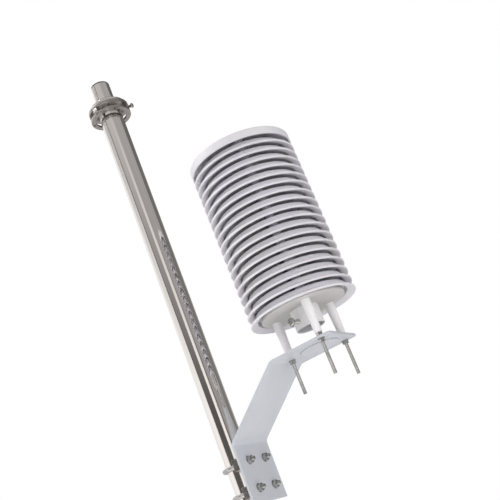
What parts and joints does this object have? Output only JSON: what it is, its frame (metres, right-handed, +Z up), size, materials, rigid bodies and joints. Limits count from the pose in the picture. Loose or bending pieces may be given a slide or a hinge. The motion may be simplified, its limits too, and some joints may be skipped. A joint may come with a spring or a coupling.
{
  "type": "tripod weather station",
  "caption": "Weather-sensor stand: tripod with telescopic mast and a bent side bracket that carries a stacked-louvre radiation shield with a humidity and temperature probe.",
  "frame": {"origin": "on the ground, under the middle of the footprint of the three feet", "axes": "+Z up along the mast, -Y towards the shield and the front leg, +X to the right seen from the front"},
  "size_m": [0.8214, 0.717, 1.285],
  "materials": {
    "mirror_steel": "polished stainless tube",
    "cast_steel": "satin stainless casting",
    "zinc_fastener": "bright stainless fasteners",
    "louvre_white": "satin white moulded plastic",
    "base_beige": "warm light grey moulded plastic",
    "post_white": "white moulded plastic",
    "bracket_paint": "smooth light grey powder coat",
    "leg_alloy": "satin anodised tube",
    "hub_black": "black powder coat casting",
    "knob_black": "black moulded plastic",
    "rubber_black": "black rubber",
    "probe_grey": "dark grey moulded plastic",
    "filter_steel": "sintered metal filter",
    "board_green": "green circuit board"
  },
  "bodies": {
    "mast": {"lower_mast": "mirror_steel", "lock_collar": "cast_steel", "slide_bush": "knob_black", "guy_ring": "cast_steel", "tripod_hub": "hub_black", "hub_screws": "zinc_fastener", "leg_pivot_bolts": "zinc_fastener", "leg_pivot_nuts": "zinc_fastener"},
    "upper_mast": {"upper_mast": "mirror_steel", "mast_cap": "knob_black"},
    "collar_screw": {"collar_screw": "zinc_fastener"},
    "bracket": {"bracket": "bracket_paint", "access_plug": "bracket_paint", "u_bolts": "zinc_fastener", "u_bolt_saddles": "cast_steel", "u_bolt_nuts": "zinc_fastener", "shield_cap": "louvre_white", "louvre_01": "louvre_white", "louvre_02": "louvre_white", "louvre_03": "louvre_white", "louvre_04": "louvre_white", "louvre_05": "louvre_white", "louvre_06": "louvre_white", "louvre_07": "louvre_white", "louvre_08": "louvre_white", "louvre_09": "louvre_white", "louvre_10": "louvre_white", "louvre_11": "louvre_white", "louvre_12": "louvre_white", "louvre_13": "louvre_white", "louvre_14": "louvre_white", "louvre_15": "louvre_white", "louvre_16": "louvre_white", "louvre_17": "louvre_white", "louvre_18": "louvre_white", "base_disc": "base_beige", "tapered_posts": "post_white", "tie_rods": "zinc_fastener", "tie_rod_nuts": "zinc_fastener", "probe_holder": "post_white"},
    "holder_screw": {"holder_screw": "zinc_fastener"},
    "probe": {"probe_body": "probe_grey", "probe_filter": "filter_steel", "probe_board": "board_green"},
    "leg_1": {"upper_leg_1": "leg_alloy", "leg_clamp_1": "hub_black"},
    "leg_1_lower": {"lower_leg_1": "leg_alloy", "foot_1": "rubber_black"},
    "knob_1": {"clamp_knob_1": "knob_black"},
    "leg_2": {"upper_leg_2": "leg_alloy", "leg_clamp_2": "hub_black"},
    "leg_2_lower": {"lower_leg_2": "leg_alloy", "foot_2": "rubber_black"},
    "knob_2": {"clamp_knob_2": "knob_black"},
    "leg_3": {"upper_leg_3": "leg_alloy", "leg_clamp_3": "hub_black"},
    "leg_3_lower": {"lower_leg_3": "leg_alloy", "foot_3": "rubber_black"},
    "knob_3": {"clamp_knob_3": "knob_black"}
  },
  "joints": [
    {"name": "upper_mast_slide", "type": "slide", "parent": "mast", "child": "upper_mast", "axis": [0, 0, 1], "range_m": [0, 0.25]},
    {"name": "collar_screw_turn", "type": "hinge", "parent": "mast", "child": "collar_screw", "pos_m": [0, 0.1125, 1.229], "axis": [0.3746, -0.9272, 0], "range_deg": [0, 360]},
    {"name": "bracket_swivel", "type": "hinge", "parent": "mast", "child": "bracket", "pos_m": [0, 0.1125, 0.6], "axis": [0, 0, 1], "range_deg": [-180, 180]},
    {"name": "holder_screw_turn", "type": "hinge", "parent": "bracket", "child": "holder_screw", "pos_m": [0, -0.0635, 0.783], "axis": [-0.9563, 0.2924, 0], "range_deg": [0, 360]},
    {"name": "probe_slide", "type": "slide", "parent": "bracket", "child": "probe", "axis": [0, 0, 1], "range_m": [-0.02, 0]},
    {"name": "leg_1_fold", "type": "hinge", "parent": "mast", "child": "leg_1", "pos_m": [0, 0.0665, 0.525], "axis": [1, 0, 0], "range_deg": [0, 38]},
    {"name": "leg_1_extend", "type": "slide", "parent": "leg_1", "child": "leg_1_lower", "axis": [0, -0.6247, -0.7809], "range_m": [0, 0.1]},
    {"name": "leg_1_knob_turn", "type": "hinge", "parent": "leg_1", "child": "knob_1", "pos_m": [0, -0.15652, 0.24623], "axis": [0, -0.7809, 0.6247], "range_deg": [0, 360]},
    {"name": "leg_2_fold", "type": "hinge", "parent": "mast", "child": "leg_2", "pos_m": [0.03984, 0.1355, 0.525], "axis": [-0.5, 0.866, 0], "range_deg": [0, 38]},
    {"name": "leg_2_extend", "type": "slide", "parent": "leg_2", "child": "leg_2_lower", "axis": [0.541, 0.3123, -0.7809], "range_m": [0, 0.1]},
    {"name": "leg_2_knob_turn", "type": "hinge", "parent": "leg_2", "child": "knob_2", "pos_m": [0.23297, 0.24701, 0.24623], "axis": [0.6763, 0.3904, 0.6247], "range_deg": [0, 360]},
    {"name": "leg_3_fold", "type": "hinge", "parent": "mast", "child": "leg_3", "pos_m": [-0.03984, 0.1355, 0.525], "axis": [-0.5, -0.866, 0], "range_deg": [0, 38]},
    {"name": "leg_3_extend", "type": "slide", "parent": "leg_3", "child": "leg_3_lower", "axis": [-0.541, 0.3123, -0.7809], "range_m": [0, 0.1]},
    {"name": "leg_3_knob_turn", "type": "hinge", "parent": "leg_3", "child": "knob_3", "pos_m": [-0.23297, 0.24701, 0.24623], "axis": [-0.6763, 0.3904, 0.6247], "range_deg": [0, 360]}
  ]
}
